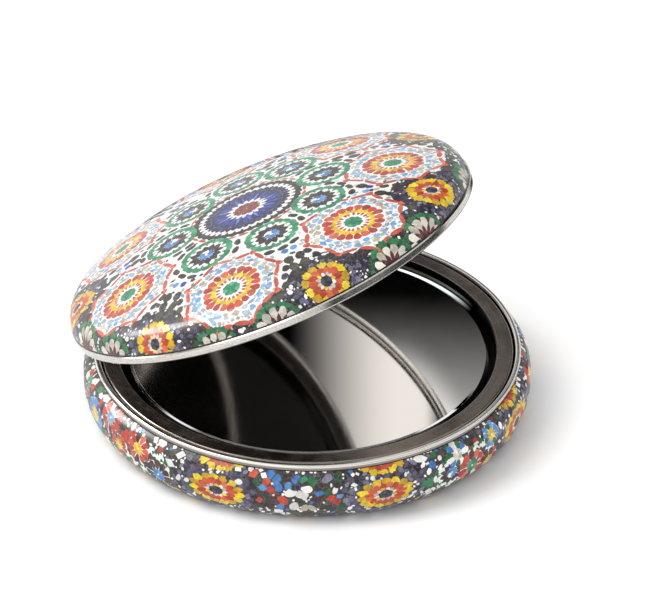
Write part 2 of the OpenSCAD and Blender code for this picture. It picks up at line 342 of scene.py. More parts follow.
def crown(drawing, centre, r0, r1, count, paints, form=PETAL, fill=0.9, turn=0.0, squash=(1, 1),
          free=False, wobble=0.06):
    """A ring of petals that point away from the centre, or to it where r1 is the smaller."""
    width = fill * 2 * math.pi * max(r0, r1) / count
    for i in range(count):
        angle = turn + 2 * math.pi * i / count + random.uniform(-0.08, 0.08) / max(r1, 1)
        stretch = math.hypot(squash[0] * math.sin(angle), squash[1] * math.cos(angle))
        tip = r1 + (r1 - r0) * random.uniform(-wobble, wobble)
        ends = polar(centre, r0, angle, squash), polar(centre, tip, angle, squash)
        petal = shape(*ends, width * stretch * random.uniform(0.9, 1.1), form, wobble)
        drawing.tile(petal, paints[i % len(paints)], free)


def dashes(drawing, centre, r, count, width, paints, form, gap, shake=0.06):
    """A ring of tiles that lie end to end."""
    points = [np.array(p) for p in outline(centre, r, count)]
    for i, (p, q) in enumerate(zip(points, points[1:] + points[:1])):
        cut = (q - p) * gap / np.hypot(*(q - p)) / 2
        shift = np.array((random.uniform(-shake, shake), random.uniform(-shake, shake)))
        dash = shape(p + cut + shift, q - cut + shift, width * random.uniform(0.85, 1.15), form)
        drawing.tile(dash, paints[i % len(paints)])


def ring_ground(drawing, centre, outer, inner, paint, sides=64):
    """A thin ring between two radii, as quadrilaterals."""
    for i in range(sides):
        a, b = 2 * math.pi * i / sides, 2 * math.pi * (i + 1) / sides
        drawing.ground([polar(centre, inner, a), polar(centre, outer, a), polar(centre, outer, b),
                        polar(centre, inner, b)], paint)


def disc(drawing, centre, r, paint, sides=14, squash=(1, 1)):
    drawing.tile(outline(centre, r, sides, squash), paint, vary=0.0)


print("a ring of twelve starts at", outline((0, 0), 1.0, 12)[0])

# %% [markdown]
# ## The colours of the glazes
# Printed glazes are bright but not pure: each hue comes in two or three shades, and neighbouring
# tiles take turns between them. The white ground is a warm paper white.

# %% Glaze colours
def glazes(*codes):
    return [colour(code) for code in codes]


WHITE, INK, SLATE, GAPS, SEAM_AND_SHADOW = glazes("#fbfaf7", "#33302d", "#57556a", "#4b4641", "#2c2420")
RED = glazes("#d4513a", "#dc6547", "#ca4838", "#e27a5a")
ORANGE = glazes("#dd6a3c", "#d2512f", "#e27d4e", "#c84830")
LINE = glazes("#e06a4c", "#d85d44", "#e58367", "#dc6c56")
YELLOW = glazes("#fbd52a", "#f5c81c", "#fddf48")
LEMON = glazes("#f8da24", "#ecc716", "#fbe240", "#e6ba18")
GREEN = glazes("#3fa67c", "#31966b", "#59b893")
LEAF = glazes("#2a7d50", "#338f60", "#1f6341")
MOSS = colour("#4b5a50")
ROYAL = glazes("#2c389c", "#232c86", "#3a47b0")
NAVY = glazes("#312f6c", "#3d3c80", "#282657")
MIDNIGHT = glazes("#1c1b45", "#1f2254")
BRIGHT = glazes("#6c78cc", "#8c9bdc")
SKY = glazes("#6aa6de", "#86b8e6", "#4f90d2")
PALE = glazes("#a9c8e4", "#bac8d0", "#9abfe2", "#cccdc6", "#dad4c6", "#c2d2da")
SAND = colour("#cbb9a6")
KHAKI = glazes("#8a8470", "#6a6454")
OLIVE = glazes("#45463c", "#383735", "#55543f", "#3c3333")
BROWN = glazes("#443431", "#372b2c", "#54433b")
WINE = glazes("#9a4444", "#8a3a3d", "#ab5450")
DARK_WINE = glazes("#5e2428", "#742f33", "#452022")
PLUM = glazes("#2b2531", "#3b3349", "#4e4764", "#262029", "#3a3040")
SEED = glazes("#3c3d55", "#2b2c3e", "#55566a", "#33344a")
LILAC = glazes("#7d7896", "#6a6580", "#928ea6")
CREAM = glazes("#e6e1d6", "#ddd6c8", "#f0ece4")
print("reds:", len(RED + ORANGE + LINE + WINE + DARK_WINE))
print("blues:", len(ROYAL + NAVY + MIDNIGHT + BRIGHT + SKY))

# %% [markdown]
# ## The medallion
# Six kinds of flower make up the print. Each is a few rings of petals round a middle, so each is
# one short function. The largest is the blue medallion of the lid: a white edge with a red line, dark
# teeth, a blue field of fine rays and a white star round a wine-red heart.

# %% The medallion
MEDALLION_R = 9.9


def medallion(d, c):
    disc(d, c, MEDALLION_R, WHITE, 60)
    dashes(d, c, 9.65, 30, 0.62, LINE, LENS, 0.1)
    ring_ground(d, c, 8.95, 8.1, INK)
    crown(d, c, 8.3, 7.45, 38, OLIVE[1:2] + [INK], TOOTH, 0.6)
    crown(d, c, 8.3, 9.25, 38, [INK], OVAL, 0.84)
    disc(d, c, 6.85, MIDNIGHT[0], 60)
    crown(d, c, 6.2, 7.25, 40, NAVY, OVAL, 0.8)
    crown(d, c, 6.15, 6.9, 20, BRIGHT[:1] + NAVY[1:2], DART, 0.16, turn=math.pi / 40)
    crown(d, c, 5.85, 6.1, 40, KHAKI, OVAL, 0.9)
    disc(d, c, 5.88, MIDNIGHT[1], 60)
    crown(d, c, 5.8, 3.0, 40, ROYAL, BAR, 0.62, wobble=0.1)
    crown(d, c, 5.3, 2.6, 24, BRIGHT + ROYAL[2:], DART, 0.34, wobble=0.15)
    crown(d, c, 2.0, 3.5, 17, [WHITE], DART, 0.62)
    disc(d, c, 2.65, WHITE, 30)
    crown(d, c, 0.95, 2.3, 13, WINE, LOBE, 0.95)
    crown(d, c, 0.1, 1.25, 7, WINE, OVAL, 1.0)


print("the medallion is", 2 * MEDALLION_R, "mm wide")

# %% [markdown]
# ## The smaller rosettes
# A flower takes a turn, a squash and a size, so that one function serves on the domed lid, seen
# nearly round, and on the base's narrow side, where the printed flowers are wide and low.

# %% The smaller rosettes
def green_rosette(d, c, turn, squash=(1, 1), size=1.0, ring=GREEN):
    disc(d, c, 4.85 * size, WHITE, 26, squash)
    crown(d, c, 3.85 * size, 5.0 * size, 17, ring, OVAL, 1.04, turn, squash, wobble=0.1)
    crown(d, c, 4.2 * size, 3.2 * size, 17, ring, TOOTH, 0.6, turn + 0.2, squash, wobble=0.12)
    crown(d, c, 1.1 * size, 3.3 * size, 12, BROWN, DART, 0.84, turn, squash, wobble=0.1)
    crown(d, c, 0.25 * size, 1.4 * size, 5, SKY + [WHITE], OVAL, 0.95, turn, squash)


def red_rosette(d, c, turn):
    disc(d, c, 5.0, WHITE, 24)
    crown(d, c, 3.0, 4.95, 20, RED, PETAL, 0.95, turn, wobble=0.09)
    crown(d, c, 3.15, 1.85, 20, RED + WINE[2:], DART, 0.56, turn + math.pi / 20)
    crown(d, c, 2.55, 3.55, 20, YELLOW, OVAL, 0.9, turn + math.pi / 20)
    disc(d, c, 1.3, GREEN[1], 13)
    crown(d, c, 0.7, 1.5, 10, GREEN, OVAL, 0.95, turn)


def sunflower(d, c, turn, squash=(1, 1), size=1.0, petals=13, form=NOTCHED):
    crown(d, c, 2.3 * size, 4.2 * size, petals, LEMON, form, 0.84, turn, squash, wobble=0.1)
    disc(d, c, 2.4 * size, ORANGE[2], 20, squash)
    crown(d, c, 1.2 * size, 2.95 * size, petals, ORANGE + RED[1:2], LOBE, 0.93, turn + 0.2, squash,
          wobble=0.1)
    crown(d, c, 0.75 * size, 1.75 * size, 12, CREAM + YELLOW[2:], DART, 0.72, turn, squash, wobble=0.12)
    disc(d, c, 1.0 * size, SEED[3], 11, squash)
    crown(d, c, 0.15 * size, 1.05 * size, 7, SEED[:3], OVAL, 0.8, turn, squash)


def fan(d, c, turn):
    disc(d, c, 3.5, MOSS, 20)
    crown(d, c, 3.3, 4.95, 14, LEAF + GREEN[1:2], NOTCHED, 0.86, turn, wobble=0.1)
    crown(d, c, 1.6, 4.0, 14, CREAM, LOBE, 0.8, turn, wobble=0.1)
    crown(d, c, 0.4, 2.95, 14, DARK_WINE + WINE[:1], POINTED, 0.6, turn + math.pi / 14, wobble=0.12)


print("smaller flowers:", ", ".join(draw.__name__ for draw in (green_rosette, red_rosette, sunflower, fan)))

# %% [markdown]
# ## Small stones between the flowers
# What is left over between flowers is filled with stones on a loose grid. The drawing remembers
# which ground is taken, so a stone is laid only where there is still room. Near the rim the
# ground is dark and the stones are plum, black and white; further in it is white.

# %% Loose stones
SCATTER_SHARE, ROW_SHARE = 0.27, 0.87


def stone(x, y, size):
    """An irregular stone of four to six corners, a little longer than it is wide."""
    r, n, start = size * random.uniform(0.7, 1.25), random.choice((4, 5, 6)), random.uniform(0, 6)
    long = random.uniform(1.0, 1.35)
    lean = random.uniform(0, math.pi)
    corners = []
    for i in range(n):
        k, a = r * random.uniform(0.8, 1.15), start + 2 * math.pi * i / n
        u, v = k * long * math.cos(a), k / long * math.sin(a)
        corners.append((x + (u * math.cos(lean) - v * math.sin(lean)),
                        y + u * math.sin(lean) + v * math.cos(lean)))
    return corners


def stones(d, low, high, pitch, paints, wanted, size):
    """Lays stones on a loose grid, where wanted agrees and there is room, and counts them."""
    row, count = 0, 0
    y = low[1]
    while y < high[1]:
        x = low[0] + (row % 2) * pitch / 2
        while x < high[0]:
            px, py = (v + random.uniform(-SCATTER_SHARE, SCATTER_SHARE) * pitch for v in (x, y))
            if wanted(px, py):
                count += d.tile(stone(px, py, size), random.choice(paints), free=True)
            x += pitch
        y += pitch * ROW_SHARE
        row += 1
    return count


print("a stone strays by up to", SCATTER_SHARE, "of the pitch")

# %% [markdown]
# ## The lid's drawing
# Places are in millimetres from the lid's middle, measured along the surface, with +Y away from
# the viewer. A blue medallion stands near the middle, eight small green rosettes round it, seven
# large red ones further out, and sunflowers and half rosettes along the rim.

# %% Where the rosettes stand
MEDALLION = (-0.8, -3.1)
SMALL = [(-13.6, -2.4), (-9.3, -13.3), (1.2, -16.4), (10.0, -10.6), (12.3, -0.8), (8.0, 8.1), (-0.5, 11.0),
         (-9.1, 7.5)]
LARGE = [(-23.1, -10.4), (-7.8, -25.9), (13.6, -21.2), (23.0, -3.7), (16.7, 14.2), (-2.2, 22.6),
         (-21.4, 10.5)]
SUNS = [(-22.9, -26.0), (6.3, -33.0), (27.0, -16.1), (29.3, 10.4), (11.1, 30.2), (-13.8, 29.3),
        (-31.9, 0.1)]
FANS = [(-31.0, -19.1), (-14.8, -34.4), (-3.6, -36.7), (18.0, -31.4), (24.5, -26.1), (35.3, -9.1),
        (35.8, 2.5), (25.9, 25.3), (19.3, 31.2), (2.5, 36.4), (-5.1, 36.0), (-25.7, 25.3), (-30.8, 18.1),
        (-34.0, -10.2)]
print("rosettes on the lid:", 1 + len(SMALL + LARGE + SUNS + FANS))

# %% [markdown]
# ## White islands
# Each large rosette stands on a white island with eight corners. A red line of long thin tiles runs
# round it, drawn in a little between the corners, with three small petals at each corner. The
# white ground inside is filled later with pale stones, in two loose rings and then one by one.

# %% The ground of a large rosette
OCTAGON_R, WAIST_SHARE, LINE_W, BUD_R = 8.4, 0.87, 0.76, 0.52
CORNER_GAP_SHARE, WAIST_GAP_SHARE = 0.16, 0.05
FAINT = PALE + PALE[:2] + SKY[1:2] + [SAND]


def octagon(d, c):
    """The red outline round a large rosette, on white ground."""
    out = math.atan2(c[1] - MEDALLION[1], c[0] - MEDALLION[0])
    corners = [polar(c, OCTAGON_R, out + math.pi / 8 + math.pi * i / 4) for i in range(8)]
    waists = [polar(c, OCTAGON_R * WAIST_SHARE, out + math.pi / 4 + math.pi * i / 4) for i in range(8)]
    d.ground([p for pair in zip(corners, waists) for p in pair], WHITE)
    for i in range(8):
        p, m, q = (np.array(x) for x in (corners[i], waists[i], corners[(i + 1) % 8]))
        for a, b in ((p + (m - p) * CORNER_GAP_SHARE, m - (m - p) * WAIST_GAP_SHARE),
                     (m + (q - m) * WAIST_GAP_SHARE, q - (q - m) * CORNER_GAP_SHARE)):
            d.tile(shape(a, b, LINE_W, DASH, 0.1), random.choice(LINE))
    for p in corners:
        crown(d, p, 0.0, BUD_R, 3, LINE, OVAL, 1.1, random.uniform(0, 6))


def pale_stones(d, c):
    for r0, r1, count in ((5.2, 6.15, 22), (6.0, 6.9, 27)):
        crown(d, c, r0, r1, count, random.sample(FAINT, 9), OVAL, 0.72, random.uniform(0, 6), free=True,
              wobble=0.3)
    low, high = (c[0] - 9, c[1] - 9), (c[0] + 9, c[1] + 9)

    def island(x, y):
        return 5.1 < math.hypot(x - c[0], y - c[1]) < 7.9

    stones(d, low, high, 0.95, FAINT, island, 0.5)
    stones(d, low, high, 0.66, PALE[3:] + PALE[:1], island, 0.27)


print("an island is", 2 * OCTAGON_R, "mm wide")

# %% [markdown]
# ## Dark ovals
# Olive and brown ovals join the flowers: in a ring round each small rosette, outside the red line of
# each large one, and in two columns in the gap between two large ones, with four blue ones in
# its middle. They are laid only where there is room, so the rings may overlap on paper.

# %% Dark ovals between the rosettes
SMALL_RING_R, LARGE_RING_R, RING_WAVE = 5.4, 9.2, 0.3


def dark_ovals(d):
    for c in SMALL:
        out = math.atan2(c[1] - MEDALLION[1], c[0] - MEDALLION[0])
        for i in range(-7, 8):
            a = out + i * math.pi / 7.5
            ends = polar(c, SMALL_RING_R, a - 0.17), polar(c, SMALL_RING_R, a + 0.17)
            oval = shape(*ends, 1.1, OVAL, 0.1)
            d.tile(oval, OLIVE[i % 4], free=True)
    for c in LARGE:
        out = math.atan2(c[1], c[0])
        for i in range(-8, 9):
            a = out + i * 0.215
            r = LARGE_RING_R + RING_WAVE * math.cos(8 * (a - out + math.pi / 8))
            oval = shape(polar(c, r, a - 0.085), polar(c, r, a + 0.085), 1.2, OVAL, 0.1)
            d.tile(oval, random.choice(OLIVE * 2 + PLUM[1:4] + DARK_WINE[:1]), free=True)
    for a, b in zip(LARGE, LARGE[1:] + LARGE[:1]):
        gap_ovals(d, (np.array(a) + np.array(b)) / 2)


def gap_ovals(d, middle):
    """Two columns of ovals that point outwards, and four blue ones in the middle."""
    away = middle / np.hypot(*middle)
    side = np.array((-away[1], away[0]))
    for k in (-4.4, -2.2, 1.9, 3.9, 5.9):
        for s in (-1.0, 1.0):
            p = middle + away * k + side * s * (1 + random.uniform(-0.1, 0.1))
            d.tile(shape(p - away, p + away, 1.6, OVAL, 0.1), random.choice(OLIVE), free=True)
    for s in (-0.75, 0.75):
        for k in (-0.75, 0.75):
            p = middle + side * s + away * k
            oval = shape(p - away * 0.6, p + away * 0.6, 1.15, OVAL, 0.1)
            d.tile(oval, random.choice(SKY + ROYAL[2:]), free=True)


print("gaps between large rosettes:", len(LARGE))

# %% [markdown]
# ## Drawing order
# The order matters, as with paper cuttings: dark ground first, then the white ground of each large
# rosette, the flowers, and last the stones, which look for room. A drawing made in another order
# would cut petals off.

# %% Draw the lid's print
SHEET_HALF, SUN_FIELD_R, FAN_FIELD_R, RIM_FIELD_R = 37.5, 6.4, 5.6, 31.0


def nearest(x, y, places):
    return min(math.hypot(x - a, y - b) for a, b in places)


def in_dark_field(x, y):
    at_rim = math.hypot(x, y) > RIM_FIELD_R and nearest(x, y, LARGE) > OCTAGON_R
    return at_rim or nearest(x, y, SUNS) < SUN_FIELD_R


def draw_lid():
    d = Drawing((-SHEET_HALF, -SHEET_HALF), (SHEET_HALF, SHEET_HALF))
    for places, r in ((SUNS, SUN_FIELD_R), (FANS, FAN_FIELD_R)):
        for c in places:
            d.ground(outline(c, r, 32), PLUM[0])
    for c in LARGE:
        octagon(d, c)
    medallion(d, MEDALLION)
    for c in SMALL:
        green_rosette(d, c, math.atan2(c[1], c[0]), size=0.89)
    for c in LARGE:
        red_rosette(d, c, math.atan2(c[1], c[0]))
    for c in SUNS:
        sunflower(d, c, math.atan2(c[1], c[0]), size=0.92)
    for x, y in FANS:
        out = 1 + 1.2 / math.hypot(x, y)
        fan(d, (x * out, y * out), math.atan2(-y, -x))
    for c in LARGE:
        pale_stones(d, c)
    dark_ovals(d)
    halo = lambda x, y: nearest(x, y, SUNS) < 5.5
    near = lambda x, y: in_dark_field(x, y) and math.hypot(x, y) < 32.5
    inner = lambda x, y: math.hypot(x, y) < RIM_FIELD_R
    layers = ((0.95, LILAC * 2 + PLUM[2:3] + NAVY[:1], halo, 0.5),
              (1.5, LILAC[:2] + PLUM[1:4] + OLIVE[:1], near, 0.8),
              (1.0, PLUM * 2 + LILAC[:2] + [WHITE] * 4, in_dark_field, 0.47),
              (0.58, [WHITE, WHITE, LILAC[2], PLUM[2]], in_dark_field, 0.24),
              (1.25, PALE[3:] + SKY[1:2] + OLIVE[:2] + GREEN[:1] + [WHITE] * 3, inner, 0.44))
    count = sum(stones(d, (-37, -37), (37, 37), *layer) for layer in layers)
    print("lid tiles:", len(d.tiles), "of them stones:", count)
    return d


lid_drawing = draw_lid()

# %% [markdown]
# ## From a drawing to a sheet of faces
# Blender's constrained triangulation takes all the outlines at once, cuts them where they cross
# and says which outlines each new face lies in. The last of those is the tile on top, so it gives
# the face its colour. A few plain circles go in as well, so that large bare areas still bend
# with the case.

# %% Cut the sheet
def cut_sheet(d, border, guides, ground):
    """Points, triangles and a colour for each triangle."""
    spots, faces, edges, paints = [], [], [], [None]

    def add(points):
        start = len(spots)
        spots.extend(Vector((float(x), float(y))) for x, y in points)
        return list(range(start, start + len(points)))

    faces.append(add(border))
    for points, paint in d.tiles:
        area = sum(p[0] * q[1] - q[0] * p[1] for p, q in zip(points, points[1:] + points[:1]))
        faces.append(add(points if area > 0 else points[::-1]))
        paints.append(paint)
    for line in guides:
        ids = add(line)
        edges.extend(zip(ids, ids[1:]))
    out = delaunay_2d_cdt(spots, edges, faces, 1, 1e-4, True)
    middle = lambda f: sum((out[0][i] for i in f), Vector((0, 0))) / len(f)
    tris = [(f, paints[max(o)] or ground(*middle(f))) for f, o in zip(out[2], out[5]) if 0 in o]
    print("sheet:", len(out[0]), "points,", len(tris), "faces")
    return np.array([tuple(p) for p in out[0]]), tris

# %% [markdown]
# ## Laying a sheet over the case
# A profile is a line of points in radius and height. Measured along it, a distance on the sheet
# becomes a place on the case, and the line's own direction there gives the surface normal, which
# is stored so that the lacquer reflects as on a smooth metal shell and not as on many facets.

# %% Profiles of the two halves
def arc(x, z, r, a, b, n=24):
    turns = [math.radians(a + (b - a) * i / n) for i in range(n + 1)]
    return [(x + r * math.cos(t), z + r * math.sin(t)) for t in turns]


class Profile:
    """A line of points in radius and height that can be walked along."""

    def __init__(self, points):
        p = np.array(points)
        keep = np.r_[True, np.hypot(*np.diff(p, axis=0).T) > 1e-6]
        self.p = p[keep]
        self.s = np.r_[0, np.cumsum(np.hypot(*np.diff(self.p, axis=0).T))]
        t = np.gradient(self.p, self.s, axis=0)
        self.t = t / np.hypot(*t.T)[:, None]

    def at(self, s):
        """Radius, height and outward normal at distance s along the line."""
        r, z = (np.interp(s, self.s, self.p[:, k]) for k in (0, 1))
        tr, tz = (np.interp(s, self.s, self.t[:, k]) for k in (0, 1))
        return r, z, -tz, tr

    def wrap(self, s, angle):
        """Points and normals at distances s along the line, turned round the case by angle."""
        r, z, nr, nz = self.at(s)
        return (np.c_[r * np.cos(angle), r * np.sin(angle), z],
                np.c_[nr * np.cos(angle), nr * np.sin(angle), nz])


dome_r = LID_R - SHOULDER_R + SHOULDER_R * math.cos(math.radians(SHOULDER_A))
dome_h = SHOULDER_H + SHOULDER_R * math.sin(math.radians(SHOULDER_A))
dome_power = dome_r / math.tan(math.radians(SHOULDER_A)) / (LID_H - dome_h)
dome = [(dome_r * k / 60, LID_H - (LID_H - dome_h) * (k / 60) ** dome_power) for k in range(61)]
shoulder = arc(LID_R - SHOULDER_R, SHOULDER_H, SHOULDER_R, SHOULDER_A, 0)
lid_profile = Profile(dome + shoulder + [(LID_R, BAND_H)])
side_profile = Profile(arc(CASE_R - FLARE_R, WIDEST_H, FLARE_R, FLARE_A, 0)
                       + arc(CASE_R - CORNER_R, CORNER_R, CORNER_R, 0, -PRINT_A))
print("lid reach:", round(lid_profile.s[-1], 2), "side depth:", round(side_profile.s[-1], 2))

# %% [markdown]
# ## A mesh with its own normals
# The sheet becomes a mesh whose corners carry the glaze colours. Its normals come from the profile.
# A Solidify modifier gives the thin sheet the thickness of printed tin, inwards, so the outside
# keeps the case's true size.

# %% A mesh from points, faces, normals and colours
def skin(name, points, normals, tris, flat, body, matrix=Matrix()):
    mesh = bpy.data.meshes.new(name)
    mesh.from_pydata([tuple(matrix @ Vector(p) * MM) for p in points], [], [f for f, _ in tris])
    mesh.validate()
    layer = mesh.color_attributes.new("glaze", "FLOAT_COLOR", "CORNER")
    paint = np.repeat(np.array([tuple(c[:3]) + (1.0,) for _, c in tris]), 3, axis=0)
    layer.data.foreach_set("color", paint.ravel().astype(np.float32))
    uv = mesh.uv_layers.new(name="print")
    corner = np.zeros(len(mesh.loops), int)
    mesh.loops.foreach_get("vertex_index", corner)
    uv.data.foreach_set("uv", flat[corner].ravel().astype(np.float32))
    turned = [(matrix.to_3x3() @ Vector(n)).normalized() for n in normals]
    mesh.normals_split_custom_set_from_vertices([tuple(n) for n in turned])
    obj = bpy.data.objects.new(name, mesh)
    bpy.context.scene.collection.objects.link(obj)
    thick = obj.modifiers.new("tin", "SOLIDIFY")
    thick.thickness, thick.offset = PRINT_T * MM * 0.9, -1
    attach(obj, body)
    print(name, "faces:", len(mesh.polygons))
    return obj

# %% [markdown]
# ## The lid's sheet
# The lid's print is laid from the middle of the dome outwards. Rings of guide lines stand close
# together over the rounded shoulder and far apart on the nearly flat dome. A thin dark ring at the
# edge is the seam where the print runs in behind the metal band, with painted shadow of that gap.

# %% Lay the lid's sheet
PRINT_TURN = math.radians(-51.5)
SEAM_SHADOW_W, UV_SIZE = 0.2, 80


def lay_lid():
    reach = float(lid_profile.s[-1])
    # painted shadow: a dark ring at the print's edge for the seam and the shade in the gap behind it
    ring_ground(lid_drawing, (0, 0), reach + 0.1, reach - SEAM_SHADOW_W, SEAM_AND_SHADOW, 120)
    guides = [outline((0, 0), r, max(12, int(r * 4))) for r in np.arange(2, 29, 1.5)]
    guides += [outline((0, 0), r, 150) for r in np.arange(30, reach - SEAM_SHADOW_W, 0.45)]
    ground = lambda x, y: PLUM[3] if math.hypot(x, y) > RIM_FIELD_R + 0.5 else WHITE
    flat, tris = cut_sheet(lid_drawing, outline((0, 0), reach, 240), guides, ground)
    points, normals = lid_profile.wrap(np.minimum(np.hypot(*flat.T), reach),
                                       np.arctan2(flat[:, 1], flat[:, 0]) + PRINT_TURN)
    return skin("lid_mosaic", points, normals, tris, flat / UV_SIZE + 0.5, "lid", lid_matrix)


lid_mosaic = lay_lid()
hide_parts("lid_print")

# %% [markdown]
# ## The base's strip
# The base's skin is a strip: its length runs round the case, from the hinge and back to it, and
# its height runs down from the mouth and under the rounded corner. Places on it are an angle round
# the case and a height below the mouth. Small mixed flowers stand in loose groups on the left and
# the right as seen in the photo, and two kinds of spray lie beside each sunflower.

# %% Small flowers and sprays of the base
STRIP_L, STRIP_D = 2 * math.pi * CASE_R, float(side_profile.s[-1])
BLOSSOMS = [
    (167, -6.2, BROWN + DARK_WINE[:1], SKY, 0.85),
    (160, -3.4, RED + DARK_WINE[:1], YELLOW, 0.75),
    (157, -7.9, LEAF + [WHITE], RED, 0.6),
    (152, -5.2, ORANGE[:2] + LEAF[:1], YELLOW, 0.65),
    (147, -2.0, RED + DARK_WINE[1:2] + [WHITE], PALE[:1], 0.85),
    (145, -7.4, LEAF + RED[:1], [WHITE], 0.75),
    (138, -4.6, SKY + ROYAL[2:], YELLOW, 0.9),
    (130, -1.9, DARK_WINE[:2] + RED[:1] + [WHITE], GREEN, 0.8),
    (129, -7.2, LEAF + [WHITE], RED, 0.75),
    (121, -4.4, DARK_WINE + RED[:1], SKY, 0.9),
    (112, -3.2, GREEN + ROYAL[2:], CREAM, 0.8),
    (-110, -2.2, LEAF[:1] + [WHITE] + SKY[2:], CREAM, 0.7),
    (-105, -5.6, RED + DARK_WINE[:1] + [WHITE], GREEN, 0.9),
    (-97, -2.4, SKY[:2] + LEAF[:1], YELLOW, 0.65),
    (-98, -7.0, DARK_WINE + RED[:1], YELLOW, 0.75),
    (-66, -3.0, DARK_WINE + RED[:2], YELLOW, 0.9),
    (-58, -6.4, SKY + LEAF[:1], RED, 0.75)]
CORNER_TILES = [
    (-3.1, -1.3, SKY[2], 0.8), (-1.9, -1.1, BROWN[1], 0.95), (-0.2, -1.2, SKY[2], 0.75),
    (1.0, -1.3, GREEN[0], 0.6), (2.4, -1.5, LEAF[0], 0.75), (3.6, -1.2, LILAC[2], 0.9),
    (-2.9, -2.6, SKY[2], 0.85), (-1.3, -2.4, SKY[0], 0.7), (0.2, -2.5, NAVY[0], 0.8),
    (1.5, -2.8, WHITE, 0.9), (-0.9, -3.6, WHITE, 1.0), (0.8, -3.9, WHITE, 0.9),
    (2.4, -3.6, SKY[2], 0.65), (-4.0, -3.3, RED[0], 0.9), (-3.3, -4.4, RED[0], 0.95),
    (-2.2, -5.0, RED[1], 0.95), (-0.9, -4.8, RED[0], 0.9), (0.5, -5.2, OLIVE[2], 0.8),
    (1.9, -5.0, WHITE, 0.9), (-2.0, -4.0, WHITE, 0.7), (-4.8, -4.6, OLIVE[0], 1.0),
    (3.4, -4.6, DARK_WINE[0], 0.9), (-0.4, -6.1, WHITE, 0.9), (1.2, -6.4, PALE[4], 0.8)]


def along(degrees):
    """Where an angle on the part lies on the strip, which starts at the hinge."""
    return (degrees - 90) % 360 * STRIP_L / 360


def blossom(d, c, petals, heart, size):
    """A small loose flower of mixed petals on white."""
    disc(d, c, 3.0 * size, WHITE, 18)
    crown(d, c, 1.1 * size, 3.2 * size, 11, petals, PETAL, 0.88, random.uniform(0, 6), wobble=0.14)
    crown(d, c, 0.2 * size, 1.4 * size, 6, heart, OVAL, 0.95, 0.3, wobble=0.12)


def red_petals(d, u):
    """A spray of brick-red petals with white and green beside it."""
    root = (u, -4.6)
    for i, a in enumerate(np.linspace(0.35, 2.8, 8)):
        d.tile(shape(polar(root, 1.0, a), polar(root, 3.4, a), 1.15, PETAL, 0.1), RED[i % 3], free=True)
    crown(d, root, 0.9, 2.2, 8, [WHITE], OVAL, 0.8, free=True)
    crown(d, (u, -7.4), 0.4, 2.0, 6, LEAF + [WHITE], OVAL, 0.8, free=True)


def blue_corner(d, u):
    """Blue and white tiles over a red hook."""
    for x, v, paint, r in CORNER_TILES:
        t = random.uniform(0, 3.1)
        p, q = polar((u + x, v), r, t), polar((u + x, v), -r, t)
        d.tile(shape(p, q, r * 1.5, random.choice((OVAL, BAR, LOBE)), 0.12), paint, free=True)


print("the strip is", round(STRIP_L, 1), "mm long, with", len(BLOSSOMS), "small flowers")

# %% [markdown]
# ## The base's drawing
# Seven wide sunflowers stand round the side, each with half a flower above it at the mouth, a green
# rosette and a red spray on one side and blue tiles on the other. The stones come last, as on the
# lid: dark ones round the sunflowers and under the corner, bright ones elsewhere.

# %% Draw the base's print
BASE_SUNS = [-175.4, -131.6, -83.2, -40, 4, 47, 92]
SUN_V, MOUTH_V, FOOT_MARGIN = -5.0, 1.0, 0.9


def draw_base():
    d = Drawing((-1, -STRIP_D - 1), (STRIP_L + 1, 1))
    for k, a in enumerate(BASE_SUNS):
        u, side = along(a), 1 if k % 2 else -1
        d.ground(outline((u, -5.1), 5.6, 24, (1.1, 0.8)), SLATE)
        sunflower(d, (u, MOUTH_V), 0.3 * k, (1.05, 0.62), 0.95)
        sunflower(d, (u, SUN_V), 0.3 * k, (1.16, 0.7), 1.0, 15, POINTED)
        if k == 2:  # the foot of one more flower shows beside the third
            sunflower(d, (along(a + 22), -9.9), 0.3 * k, (0.9, 0.4), 0.8)
        green_rosette(d, (along(a + side * 19.5), -4.9), 0.2, (1.0, 0.86), 0.72, [WHITE] + LEAF[:1])
        red_petals(d, along(a + side * 27.5))
        blue_corner(d, along(a - side * 21))
    for a, v, petals, heart, size in BLOSSOMS:
        blossom(d, (along(a), v), petals, heart, size)
    foot = lambda x, y: y > FOOT_MARGIN - STRIP_D
    to_sun = lambda x, y: min(math.hypot((x - along(a)) / 1.15, y + 4.6) for a in BASE_SUNS)
    halo = lambda x, y: foot(x, y) and to_sun(x, y) < 5.9
    deep = lambda x, y: foot(x, y) and y < -8.0
    mixed = [WHITE] * 7 + SKY[:1] + SKY[2:] * 2 + LEAF * 2 + RED[:2] + DARK_WINE * 2 + PLUM[:4] + OLIVE * 2
    layers = ((1.0, LILAC * 2 + PLUM[1:4] + [WHITE], halo, 0.55),
              (1.05, PLUM + LILAC[:1] + [WHITE] + DARK_WINE[:1] + LEMON[:1], deep, 0.6),
              (1.3, mixed, foot, 0.78),
              (0.85, [WHITE] * 5 + SKY[2:] + LEAF[:1] + DARK_WINE + PLUM[:3] + LILAC[:1], foot, 0.42),
              (0.6, [WHITE, LILAC[0], PLUM[2], WHITE], foot, 0.26))
    count = sum(stones(d, (0, -STRIP_D), (STRIP_L, 0), *layer) for layer in layers)
    print("base tiles:", len(d.tiles), "of them stones:", count)
    return d


base_drawing = draw_base()

# %% [markdown]
# ## Bending the strip
# The strip is bent round the side. The real tin has a window at the back for the hinge, with a
# narrow slot above it for the lid's leaf, so the faces in that outline are left out. Guide lines
# along the window's edges make sure that no face crosses them.

# %% Lay the base's strip, with its window for the hinge
WINDOW_W, SLOT_W, SILL_H, HEAD_H = 8.2, 3.3, 3.05, 5.95
SUN_HALF_W, DEEP_V = 6.5, -9


